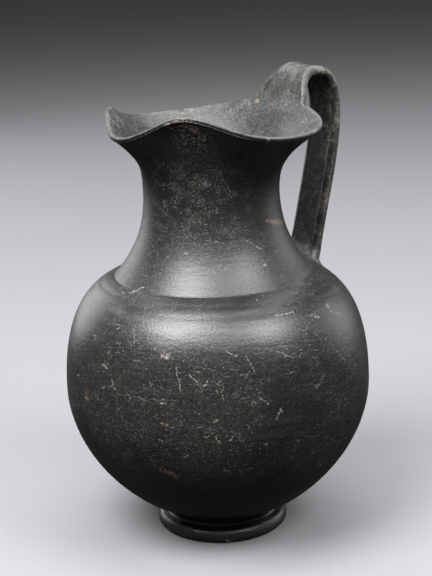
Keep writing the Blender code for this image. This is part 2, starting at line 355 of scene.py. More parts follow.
def strap_loop():
    """(across, side, roll) round a section: across is -1 to 1 and side 1 is the upper face."""
    columns = range(-ROOT_COLUMNS, ROOT_COLUMNS + 1)
    upper = [(column / ROOT_COLUMNS, 1, None) for column in columns]
    right = [(1, 0, 60), (1, 0, 120)]
    under = [(-column / ROOT_COLUMNS, -1, None) for column in columns]
    left = [(-1, 0, 120), (-1, 0, 60)]
    return upper + right + under + left


def strap_point(place, across, side, roll, root_half_width):
    """One point of the strap's section at a place on its path."""
    (out, height), along = strap_path(place)
    square = (-along[1], along[0])
    grown = ease(place)
    half = mix(LIP_THICKNESS, STRAP_THICKNESS, grown) / 2
    half_width = mix(root_half_width, STRAP_WIDTH / 2, ease(place * 0.5 + 0.5) * 2 - 1)
    flat = half_width - half
    if roll is None:
        y = across * flat
        lift = half * side - (STRAP_DISH * grown * (1 - across**2) if side > 0 else 0)
    else:
        y = across * (flat + half * sin(radians(roll)))
        lift = half * cos(radians(roll))
    sway = STRAP_TWIST * ease(1 - abs(place - 0.95) / 0.95) * (y - STRAP_WIDTH / 2)
    return out + lift * square[0], y, height + lift * square[1] + sway


def around(column, point):
    """A (radius, height) point turned to a column of the grid."""
    angle = 2 * pi * column / SEGMENTS
    return point[0] * cos(angle), point[0] * sin(angle), point[1]


def turned(point):
    """A ring of the grid that is the same all the way round."""
    return [around(column, point) for column in range(SEGMENTS)]


def shaped(rule):
    """A ring of the grid whose (radius, height) follows a rule of the angle."""
    return [around(column, rule(360 * column / SEGMENTS)) for column in range(SEGMENTS)]


def foot_rings():
    """Rings from the middle of the underside, round the foot, to the stem above it."""
    stem_top = FOOT_HEIGHT + STEM_RISE
    rings = [
        (UNDERSIDE_RADIUS - UNDERSIDE_CORNER, UNDERSIDE_RECESS),
        (UNDERSIDE_RADIUS, UNDERSIDE_RECESS),
        (SEAT_INNER_RADIUS - SEAT_EDGE, SEAT_EDGE),
        (SEAT_INNER_RADIUS + SEAT_EDGE, 0),
        ((SEAT_INNER_RADIUS + SEAT_OUTER_RADIUS) / 2, 0),
        *((SEAT_OUTER_RADIUS + outset, rise) for outset, rise in SEAT_ROUND),
        (mix(SEAT_OUTER_RADIUS, FOOT_RADIUS, 0.75), FOOT_BULGE_HEIGHT * 0.35),
        (FOOT_RADIUS, FOOT_BULGE_HEIGHT),
        (mix(FOOT_RADIUS, FOOT_TOP_RADIUS, 0.4), mix(FOOT_BULGE_HEIGHT, FOOT_HEIGHT, 0.75)),
        (FOOT_TOP_RADIUS, FOOT_HEIGHT),
        *((FOOT_STEM_RADIUS + outset, stem_top + rise) for outset, rise in STEM_ROUND),
    ]
    return [turned(point) for point in rings]


def belly_turns(count, radius):
    """Turns from where the belly has this radius up to just under the widest ring."""
    first = -body_turn(radius, BELLY_FULLNESS)
    return [first * (1 - step / count) for step in range(count)]


def shoulder_turns(count, radius):
    """Turns from the widest ring up to just under where the shoulder has this radius."""
    last = body_turn(radius, SHOULDER_FULLNESS)
    return [last * step / count for step in range(count)]


def base_radii():
    """Radii of the shoulder's rings beside the strap's base, outermost first."""
    outermost = NECK_BASE_RADIUS + BASE_SPREAD
    innermost = NECK_BASE_RADIUS + NECK_CORNER
    steps = BASE_ROWS - 2
    return [mix(outermost, innermost, (step / steps) ** 0.9) for step in range(steps + 1)]


def build_rings():
    """Every ring, from the middle of the underside round to the middle of the floor inside."""
    rings = foot_rings()
    turns = belly_turns(BELLY_STEPS, FOOT_STEM_RADIUS + BELLY_OUTSET)
    turns += shoulder_turns(SHOULDER_STEPS, base_radii()[0])
    rings += [turned(body_point(turn)) for turn in turns]
    base_row = len(rings)
    rings += [turned(shoulder_point(radius)) for radius in base_radii()]
    rings += [turned(neck_point(climb)) for climb in OUTER_NECK_CLIMBS]
    for climb in OUTER_LIP_CLIMBS:
        rings.append(shaped(lambda angle: lip_point(angle, climb, 1)))
    edge_row = len(rings)
    for roll in EDGE_ROLLS:
        rings.append(shaped(lambda angle: edge_point(angle, roll)))
    for climb in INNER_LIP_CLIMBS:
        rings.append(shaped(lambda angle: lip_point(angle, climb, -1)))
    rings += [turned(inside(neck_point, climb, NECK_WALL)) for climb in INNER_NECK_CLIMBS]
    turns = [body_turn(NECK_BASE_RADIUS + INNER_NECK_CORNER, SHOULDER_FULLNESS)]
    turns += shoulder_turns(INNER_SHOULDER_STEPS, base_radii()[0])[::-1]
    turns += belly_turns(INNER_BELLY_STEPS, FOOT_STEM_RADIUS + FLOOR_CORNER)[::-1]
    rings += [turned(inside(body_point, turn, BODY_WALL)) for turn in turns]
    last_radius, last_height = inside(body_point, turns[-1], BODY_WALL)
    floor = UNDERSIDE_RECESS + FLOOR_THICKNESS
    rings.append(turned((last_radius / 2, mix(floor, last_height, 0.25))))
    return rings, base_row, edge_row, floor


class Shell:
    """Vertices and faces of the jug, with each grid vertex made once, when it is first used."""

    def __init__(self, rings):
        self.rings = rings
        self.vertices = []
        self.faces = []
        self.made = {}

    def add(self, point):
        self.vertices.append(point)
        return len(self.vertices) - 1

    def grid(self, row, column):
        key = (row, column % SEGMENTS)
        if key not in self.made:
            self.made[key] = self.add(self.rings[row][key[1]])
        return self.made[key]

    def cell(self, row, column):
        self.faces.append(
            (
                self.grid(row, column),
                self.grid(row, column + 1),
                self.grid(row + 1, column + 1),
                self.grid(row + 1, column),
            )
        )

    def cap(self, row, height, facing_down):
        centre = self.add((0, 0, height))
        for column in range(SEGMENTS):
            pair = [self.grid(row, column), self.grid(row, column + 1)]
            self.faces.append((centre, *(pair[::-1] if facing_down else pair)))

    def bridge(self, first, second):
        """A tube of faces between two loops of the same length."""
        for index in range(len(first)):
            after = (index + 1) % len(first)
            self.faces.append((first[index], second[index], second[after], first[after]))


def root_loop(shell, edge_row):
    """The open slot in the lip that the strap grows from, in the order of strap_loop."""
    columns = list(range(-ROOT_COLUMNS, ROOT_COLUMNS + 1))
    loop = [shell.grid(edge_row + 3, column) for column in columns]
    loop += [shell.grid(edge_row + row, ROOT_COLUMNS) for row in (2, 1)]
    loop += [shell.grid(edge_row, column) for column in reversed(columns)]
    return loop + [shell.grid(edge_row + row, -ROOT_COLUMNS) for row in (1, 2)]


def base_loop(shell, base_row):
    """The open patch in the shoulder that the strap ends on, in the order of strap_loop."""
    columns = list(range(-BASE_COLUMNS, BASE_COLUMNS + 1))
    top = base_row + BASE_ROWS
    rows = list(range(base_row + 1, top))
    loop = [shell.grid(base_row, column) for column in columns]
    loop += [shell.grid(row, BASE_COLUMNS) for row in rows]
    loop += [shell.grid(top, column) for column in reversed(columns)]
    loop += [shell.grid(row, -BASE_COLUMNS) for row in reversed(rows)]
    lead = ROOT_COLUMNS - BASE_COLUMNS
    return loop[-lead:] + loop[:-lead]


def add_strap(shell, edge_row, base_row):
    """The strap, bridged loop by loop from the lip to the shoulder."""
    slot, patch = root_loop(shell, edge_row), base_loop(shell, base_row)
    sections = strap_loop()
    slot_points = [shell.vertices[vertex] for vertex in slot]
    root_half_width = max(point[1] for point in slot_points)
    last = strap_corners()[3][0]
    fall = waist_height() + BACK_RISE + STRAP_CREST_RISE - STRAP_REACH_DROP - last[1]
    ends = []
    for _, side, roll in sections:
        lift = side if roll is None else cos(radians(roll))
        ends.append(3 - mix(BASE_WEB, BASE_FILLET, (lift + 1) / 2) / fall)
    previous = slot
    places = [
        span + (step + 1) / steps for span, steps in enumerate(STRAP_STEPS) for step in range(steps)
    ]
    for place in places:
        points = []
        for (across, side, roll), end, slot_point in zip(sections, ends, slot_points):
            here = place if place <= 2 else mix(2, end, place - 2)
            point = strap_point(here, across, side, roll, root_half_width)
            start = strap_point(0, across, side, roll, root_half_width)
            fade = 1 - ease(here / 0.9)
            moves = zip(point, slot_point, start)
            points.append([p + (s - q) * fade for p, s, q in moves])
        loop = [shell.add(point) for point in points]
        shell.bridge(previous, loop)
        previous = loop
    tops = points
    corners = [strap_point(3, *section, root_half_width) for section in sections]
    for share in STRAP_BASE_SHARES:
        loop = []
        for top, corner, vertex in zip(tops, corners, patch):
            bends = zip(top, corner, shell.vertices[vertex])
            point = [mix(mix(t, c, share), mix(c, f, share), share) for t, c, f in bends]
            loop.append(shell.add(point))
        shell.bridge(previous, loop)
        previous = loop
    shell.bridge(previous, patch)


def make_cage():
    """The coarse closed mesh of the jug, in quads."""
    rings, base_row, edge_row, floor = build_rings()
    shell = Shell(rings)
    for row in range(len(rings) - 1):
        on_edge = edge_row <= row < edge_row + 3
        beside_base = base_row <= row < base_row + BASE_ROWS
        for column in range(SEGMENTS):
            signed = (column + SEGMENTS // 2) % SEGMENTS - SEGMENTS // 2
            if on_edge and -ROOT_COLUMNS <= signed < ROOT_COLUMNS:
                continue
            if beside_base and -BASE_COLUMNS <= signed < BASE_COLUMNS:
                continue
            shell.cell(row, column)
    shell.cap(0, UNDERSIDE_RECESS, True)
    shell.cap(len(rings) - 1, floor, False)
    inner = [vertex for (row, column), vertex in shell.made.items() if row >= edge_row + 2]
    strap_start = len(shell.vertices)
    add_strap(shell, edge_row, base_row)
    mesh = bpy.data.meshes.new("cage")
    mesh.from_pydata(shell.vertices, [], shell.faces)
    share = np.zeros((2, len(shell.vertices)))
    # The point made last before the strap is the middle of the floor inside
    share[0, inner + [strap_start - 1]] = 1
    share[1, strap_start:] = 1
    write_share(mesh, "inside", share[0])
    write_share(mesh, "strap", share[1])
    return mesh


def read_points(mesh):
    points = np.empty(len(mesh.vertices) * 3, np.float32)
    mesh.vertices.foreach_get("co", points)
    return points.reshape(-1, 3).astype(float)


def write_points(mesh, points):
    mesh.vertices.foreach_set("co", points.astype(np.float32).ravel())
    mesh.update()


def read_share(mesh, name):
    values = np.empty(len(mesh.vertices), np.float32)
    mesh.attributes[name].data.foreach_get("value", values)
    return values.astype(float)


def write_share(mesh, name, values):
    attribute = mesh.attributes.new(name, "FLOAT", "POINT")
    attribute.data.foreach_set("value", values.astype(np.float32))


def put(name, data):
    """A new object in the scene."""
    made = bpy.data.objects.new(name, data)
    bpy.context.scene.collection.objects.link(made)
    return made


def evaluated(holder):
    """A new mesh of the object as its modifier leaves it."""
    graph = bpy.context.evaluated_depsgraph_get()
    return bpy.data.meshes.new_from_object(holder.evaluated_get(graph))


def subdivided(cage):
    """The cage refined so that the smooth surface runs through the cage's own points."""
    holder = put("cage", cage)
    modifier = holder.modifiers.new("refine", "SUBSURF")
    modifier.levels = SUBDIVISIONS
    modifier.render_levels = SUBDIVISIONS
    aim = read_points(cage)
    fine = evaluated(holder)
    for _ in range(FITTING_ROUNDS):
        miss = aim - read_points(fine)[: len(aim)]
        bpy.data.meshes.remove(fine)
        write_points(cage, read_points(cage) + miss)
        holder.update_tag()
        fine = evaluated(holder)
    bpy.data.objects.remove(holder)
    return fine


def point_normals(mesh):
    normals = np.empty(len(mesh.vertices) * 3, np.float32)
    mesh.vertex_normals.foreach_get("vector", normals)
    return normals.reshape(-1, 3).astype(float)


def edge_ends(mesh):
    ends = np.empty(len(mesh.edges) * 2, np.int32)
    mesh.edges.foreach_get("vertices", ends)
    return ends.reshape(-1, 2)


def spread(values, ends):
    """Each point's value averaged with those of the points next to it."""
    total, count = values.copy(), np.ones(len(values))
    for near, far in (ends.T, ends.T[::-1]):
        np.add.at(total, near, values[far])
        np.add.at(count, near, 1)
    return total / count


def convexity(mesh):
    """How sharply the surface turns outward at each point, as one over twice the radius."""
    points, normals, ends = read_points(mesh), point_normals(mesh), edge_ends(mesh)
    total, count = np.zeros(len(points)), np.zeros(len(points))
    for near, far in (ends.T, ends.T[::-1]):
        gap = points[near] - points[far]
        bend = (normals[near] * gap).sum(1) / np.maximum((gap**2).sum(1), 1e-12)
        np.add.at(total, near, bend)
        np.add.at(count, near, 1)
    return spread(total / count, ends)


def smooth(share):
    share = np.clip(share, 0, 1)
    return share * share * (3 - 2 * share)


def uneven(points, scale):
    """Smooth noise from -1 to 1 at each point."""
    return np.array([noise.noise(Vector(point) * scale) for point in points])


def on_circle(angle, point):
    """A (radius, height) point turned to an angle in degrees."""
    return point[0] * cos(radians(angle)), point[0] * sin(radians(angle)), point[1]


def within(reach):
    """1 inside a chip and 0 outside it, with a soft edge about a reach of 1."""
    return smooth(1.6 * (1.25 - reach))


def loss(points, ragged, centre, half_width, half_height, depth):
    """How deep a chip about a point of the surface is at each point."""
    gap = points - centre
    level = np.hypot(gap[:, 0], gap[:, 1]) / half_width
    return depth * within(np.hypot(level, gap[:, 2] / half_height) * (1 + 0.45 * ragged))


def sink(mesh):
    """Sinks the jug's surface by its unevenness, turning grooves and losses."""
    points, normals = read_points(mesh), point_normals(mesh)
    outer = 1 - read_share(mesh, "inside")
    radius = np.hypot(points[:, 0], points[:, 1])
    above_seat = smooth(points[:, 2] / SEAT_FADE)
    depth = WOBBLE_DEPTH * above_seat * (1 + uneven(points, WOBBLE_SCALE)) / 2
    for height, groove_depth, width in GROOVES:
        across = (points[:, 2] - height) / width
        groove = groove_depth * outer * np.exp(-(across**2))
        depth += groove * (radius < BODY_RADIUS * GROOVE_LIMIT)
    ragged = uneven(points, RAGGED_SCALE)
    flaked, cut, shift = np.zeros(len(points)), np.zeros(len(points)), np.zeros(points.shape)
    for angle, climb, *size in LIP_LOSSES:
        flaked += loss(points, ragged, on_circle(angle, lip_point(angle, climb, 1)), *size)
    angle, height, *size = FOOT_CHIP
    flaked += loss(points, ragged, on_circle(angle, (FOOT_RADIUS, height)), *size)
    for angle, half_width, lost in RIM_LOSSES:
        middle, along = lip_frame(angle, 1)[:2]
        way = np.array(on_circle(angle, along))
        gap = points - on_circle(angle, middle)
        aside = np.abs(gap @ (-sin(radians(angle)), cos(radians(angle)), 0)) / half_width
        share = within(aside * (1 + 0.3 * ragged))
        share *= np.clip(1 + gap @ way / RIM_LOSS_REACH, 0, 1)
        share *= np.linalg.norm(gap, axis=1) < RIM_LOSS_LIMIT
        cut += lost * share
        shift -= lost * share[:, None] * way
    points += shift - normals * (depth + flaked * outer)[:, None]
    points[:, 2] = np.maximum(points[:, 2], 0)
    write_points(mesh, points)
    write_share(mesh, "broken", np.clip((flaked * outer + cut) / BROKEN_DEPTH, 0, 1))


def make_jug():
    mesh = subdivided(make_cage())
    mesh.name = "oinochoe_clay"
    write_share(mesh, "wear", np.clip(convexity(mesh) / WORN_BEND, 0, 1))
    sink(mesh)
    mesh.shade_smooth()
    jug = put("oinochoe_clay", mesh)
    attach(jug, "root")
    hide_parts("oinochoe")
    return jug


# Colours of the clay and of what lies on it, as linear light
BLACK_CLAY = (0.0080, 0.0082, 0.0090, 1)
BROWN_CLAY = (0.0175, 0.0153, 0.0115, 1)
GREY_FILM = (0.0480, 0.0475, 0.0465, 1)
SCUFF = (0.1700, 0.1630, 0.1460, 1)
BROKEN_EDGE = (0.1250, 0.1020, 0.0780, 1)
BROKEN_FACE = (0.0300, 0.0260, 0.0210, 1)
DUST_AND_SHEEN = (0.0700, 0.0695, 0.0685, 1)
ENCRUSTATION = (0.1150, 0.1060, 0.0880, 1)
WORN_EDGE_AND_HIGHLIGHT = (0.0850, 0.0840, 0.0820, 1)
TONES = {
    "cream": (0.1900, 0.1720, 0.1400, 1),
    "tan": (0.1900, 0.1300, 0.0850, 1),
    "red": (0.1300, 0.0800, 0.0580, 1),
    "grey": (0.0850, 0.0830, 0.0790, 1),
}

# Heights between which a layer comes in, or goes out where the first is the higher
BELLY_START, BELLY_END = (0.045, 0.085), (0.215, 0.165)
SHOULDER_START, SHOULDER_END = (0.138, 0.147), (0.166, 0.156)
NECK_START = (0.152, 0.162)
BROWN_END = (0.150, 0.080)
DULL_START = (0.164, 0.182)
SHADED_START = (0.178, 0.200)
CRUST_START, CRUST_END = (0.165, 0.205), (0.236, 0.222)
LIP_CRUST_START = (0.226, 0.240)
CRUMBLED_START = (0.228, 0.243)

# Roughness of the burnished body and neck and of the matt layers, and the depths of the relief
BODY_ROUGHNESS, NECK_ROUGHNESS, MATT_ROUGHNESS = 0.335, 0.40, 0.66
CLAY_IOR = 1.6
FACET_DEPTH, GRAIN_DEPTH = 0.00016, 0.00008

# Front of the jug: the azimuth that turns are counted from, to the right as seen from there
FRONT_AZIMUTH = -126.06

# Marks on body and neck by tone, in degrees and millimetres: (turn, height, length, tilt, width)
MARKS = {
    "cream": (
        (-19.6, 131.5, 2.6, -30, 2.4),
        (-23.6, 134.7, 2.2, 72, 0.8),
        (-21.9, 133.8, 1.6, -50, 0.6),
        (-17.9, 133.1, 2.6, 25, 0.8),
        (-14.0, 119.9, 14.5, -78, 0.6),
        (-9.4, 121.5, 2.2, -50, 0.8),
        (-7.4, 119.0, 4.0, -40, 0.6),
        (-4.4, 118.0, 3.0, 55, 0.7),
        (-0.4, 112.9, 2.4, -70, 0.7),
        (1.6, 110.1, 2.8, -75, 0.6),
        (-7.8, 102.1, 3.4, -20, 0.6),
        (-1.4, 97.5, 2.4, 20, 0.8),
        (-19.5, 106.2, 1.8, 0, 1.0),
        (-20.8, 84.7, 3.6, -30, 0.8),
        (-45.6, 120.8, 4.0, -20, 1.3),
        (-40.3, 112.7, 5.6, -58, 0.9),
        (10.9, 81.8, 2.6, 30, 0.7),
        (-0.7, 85.9, 5.4, -50, 0.7),
        (3.8, 86.7, 3.2, 60, 0.7),
        (-12.2, 76.5, 2.8, 40, 0.7),
        (1.8, 66.6, 3.4, -20, 0.7),
        (41.9, 59.1, 2.8, 30, 0.9),
        (-44.1, 122.1, 1.4, 30, 1.2),
        (-55.0, 133.9, 1.6, -20, 1.2),
        (-40.5, 134.7, 1.8, 10, 1.0),
        (30.5, 148.1, 11.3, 0, 0.7),
        (45.5, 143.1, 3.4, -8, 1.0),
        (56.4, 145.5, 1.2, 0, 1.8),
        (59.8, 140.0, 13.4, -28, 0.6),
        (25.0, 129.6, 9.4, -28, 0.6),
        (5.5, 132.7, 5.8, -23, 0.6),
        (12.1, 126.6, 10.2, -64, 0.6),
        (15.8, 106.6, 6.6, -38, 0.9),
        (-3.5, 88.9, 5.2, 41, 0.6),
        (21.0, 97.8, 4.0, 62, 1.3),
        (16.1, 81.6, 2.0, 0, 1.2),
        (44.5, 55.6, 1.2, 0, 1.4),
        (61.0, 189.6, 11.0, -16, 1.6),
        (30.0, 181.7, 11.8, -35, 0.7),
        (35.5, 169.8, 1.2, 0, 1.6),
        (-20.6, 178.9, 1.2, 0, 1.6),
        (-16.5, 251.2, 3.0, 4, 1.0),
        (-65.3, 160.2, 4.0, 75, 1.4),
        (-48.0, 158.0, 6.7, 27, 1.0),
    ),
    "grey": (
        (-33.2, 137.2, 10.0, -72, 0.6),
        (-30.0, 127.8, 6.0, 4, 0.7),
        (10.5, 121.7, 8.0, 2, 0.5),
        (10.5, 121.7, 5.0, 52, 0.5),
        (26.8, 119.1, 4.4, 4, 0.5),
        (38.6, 109.6, 6.0, 38, 1.4),
        (-26.8, 108.0, 37.6, 1, 0.5),
        (49.5, 124.5, 23.0, -50, 0.7),
        (7.4, 84.9, 17.0, -50, 0.6),
        (-16.5, 92.9, 11.4, 22, 0.6),
        (-3.8, 217.1, 2.4, 30, 2.6),
    ),
    "tan": (
        (-19.3, 94.9, 3.6, -12, 0.9),
        (-55.8, 98.9, 1.2, 0, 2.4),
        (-62.6, 108.9, 2.0, 60, 1.4),
        (60.0, 190.0, 15.0, -18, 2.6),
        (-22.0, 250.2, 8.0, 10, 1.0),
        (-11.5, 249.8, 4.6, -40, 1.2),
    ),
    "red": (
        (-19.9, 64.0, 9.2, -30, 2.4),
        (3.7, 184.5, 5.8, -18, 0.7),
    ),
}
MARK_PLACE = ("Turn", "Radius", "Height", "Ragged")
MARK_SIZE = ("Mark Turn", "Mark Height", "Length", "Tilt", "Width")

# Directions of the fine scratches: (tilt, noise scale along, scale across, least value drawn)
SCUFF_WAYS = (
    (4, 170, 1100, 0.64),
    (-42, 290, 1300, 0.67),
    (48, 270, 1250, 0.67),
    (95, 250, 1300, 0.69),
)


class Recipe:
    """Adds nodes to a tree: each call makes one and returns its output."""

    def __init__(self, tree):
        self.tree = tree

    def node(self, kind, feeds, **settings):
        made = self.tree.nodes.new("ShaderNode" + kind)
        for name, value in settings.items():
            setattr(made, name, value)
        for socket, value in feeds.items():
            if isinstance(value, bpy.types.NodeSocket):
                self.tree.links.new(value, made.inputs[socket])
            else:
                made.inputs[socket].default_value = value
        return made

    def math(self, operation, *values):
        return self.node("Math", dict(enumerate(values)), operation=operation).outputs[0]

    def plus(self, first, second):
        return self.math("ADD", first, second)

    def times(self, first, *others):
        for other in others:
            first = self.math("MULTIPLY", first, other)
        return first

    def most(self, first, *others):
        for other in others:
            first = self.math("MAXIMUM", first, other)
        return first

    def rest(self, share):
        return self.math("SUBTRACT", 1, share)

    def span(self, value, low, high):
        """0 at low and 1 at high, with a smooth rise between them."""
        feeds = {"Value": value, "From Min": low, "From Max": high}
        return self.node("MapRange", feeds, interpolation_type="SMOOTHSTEP").outputs[0]

    def ramp(self, share, low, high):
        """The straight change from low to high as share goes from 0 to 1."""
        return self.math("MULTIPLY_ADD", share, high - low, low)

    def stretched(self, place, scales):
        return self.node("VectorMath", {0: place, 1: scales}, operation="MULTIPLY").outputs[0]

    def noise(self, place, scale, detail=3.0):
        return self.node("TexNoise", {"Vector": place, "Scale": scale, "Detail": detail}).outputs[0]

    def cells(self, place, scale):
        """Distance to the nearest cell's point and that cell's random number."""
        made = self.node("TexVoronoi", {"Vector": place, "Scale": scale})
        drawn = self.node("SeparateColor", {0: made.outputs["Color"]})
        return made.outputs["Distance"], drawn.outputs[0]

    def scattered(self, place, scale, radius, density):
        """Small spots in the share of the cells that density gives."""
        distance, drawn = self.cells(place, scale)
        chosen = self.math("LESS_THAN", drawn, density)
        return self.times(self.span(distance, radius * 1.25, radius * 0.75), chosen)

    def squiggles(self, place, scale, half_width):
        """Thin wandering lines where a noise passes its middle value."""
        off = self.math("ABSOLUTE", self.math("SUBTRACT", self.noise(place, scale, 2), 0.5))
        edge = half_width * 0.35 * scale
        return self.span(off, edge * 1.8, edge * 0.4)

    def blend(self, share, first, second):
        return self.node("Mix", {0: share, 6: first, 7: second}, data_type="RGBA").outputs[2]

    def share(self, name):
        return self.node("Attribute", {}, attribute_name=name).outputs["Fac"]


def mark_group():
    """A node group that draws one stroke on the surface, placed by turn and height."""
    tree = bpy.data.node_groups.new("mark", "ShaderNodeTree")
    for name in MARK_PLACE + MARK_SIZE:
        tree.interface.new_socket(name, in_out="INPUT", socket_type="NodeSocketFloat")
    tree.interface.new_socket("Mark", in_out="OUTPUT", socket_type="NodeSocketFloat")
    given = tree.nodes.new("NodeGroupInput").outputs
    made = Recipe(tree)
    level = made.times(made.math("SUBTRACT", given["Turn"], given["Mark Turn"]), given["Radius"])
    rise = made.math("SUBTRACT", given["Height"], given["Mark Height"])
    lean, slope = made.math("COSINE", given["Tilt"]), made.math("SINE", given["Tilt"])
    along = made.math("MULTIPLY_ADD", level, lean, made.times(rise, slope))
    across = made.math("SUBTRACT", made.times(rise, lean), made.times(level, slope))
    half = made.times(given["Length"], 0.5)
    beyond = made.most(made.math("SUBTRACT", made.math("ABSOLUTE", along), half), 0)
    squares = made.math("MULTIPLY_ADD", beyond, beyond, made.times(across, across))
    reach = made.math("DIVIDE", made.math("SQRT", squares), given["Width"])
    drawn = made.span(made.plus(reach, given["Ragged"]), 0.70, 0.25)
    tree.links.new(drawn, tree.nodes.new("NodeGroupOutput").inputs["Mark"])
    return tree


def draw_marks(made, place):
    """The marks of each tone, joined into one mask a tone; place follows MARK_PLACE."""
    group = mark_group()
    drawn = {}
    for tone, marks in MARKS.items():
        strokes = []
        for at_turn, at_height, length, tilt, width in marks:
            stroke = made.tree.nodes.new("ShaderNodeGroup")
            stroke.node_tree = group
            for name, output in zip(MARK_PLACE, place):
                made.tree.links.new(output, stroke.inputs[name])
            size = (radians(at_turn), at_height / 1000, length / 1000, radians(tilt), width / 1000)
            for name, value in zip(MARK_SIZE, size):
                stroke.inputs[name].default_value = value
            strokes.append(stroke.outputs[0])
        drawn[tone] = made.most(*strokes)
    return drawn


def scuffs(made, place, sheet):
    """Short fine scratches, most of them dashes that lean several ways."""
    gate = made.span(made.noise(place, 210, 2), 0.50, 0.60)
    wandering = made.times(made.squiggles(place, 85, 0.00020), gate, 0.8)
    drift = made.node("TexNoise", {"Vector": place, "Scale": 70.0}).outputs["Color"]
    feeds = {0: drift, 1: (0.012, 0.012, 0), 2: sheet}
    bent = made.node("VectorMath", feeds, operation="MULTIPLY_ADD").outputs[0]
    layers = [wandering]
    for tilt, along, across, low in SCUFF_WAYS:
        feeds = {0: bent, 2: (0, 0, radians(tilt)), 3: (along, across, 1)}
        leaning = made.node("Mapping", feeds).outputs[0]
        layers.append(made.span(made.noise(leaning, 1, 1), low, low + 0.12))
    clusters = made.ramp(made.span(made.noise(place, 130, 3), 0.44, 0.60), 0.15, 1.0)
    return made.times(made.most(*layers), clusters)


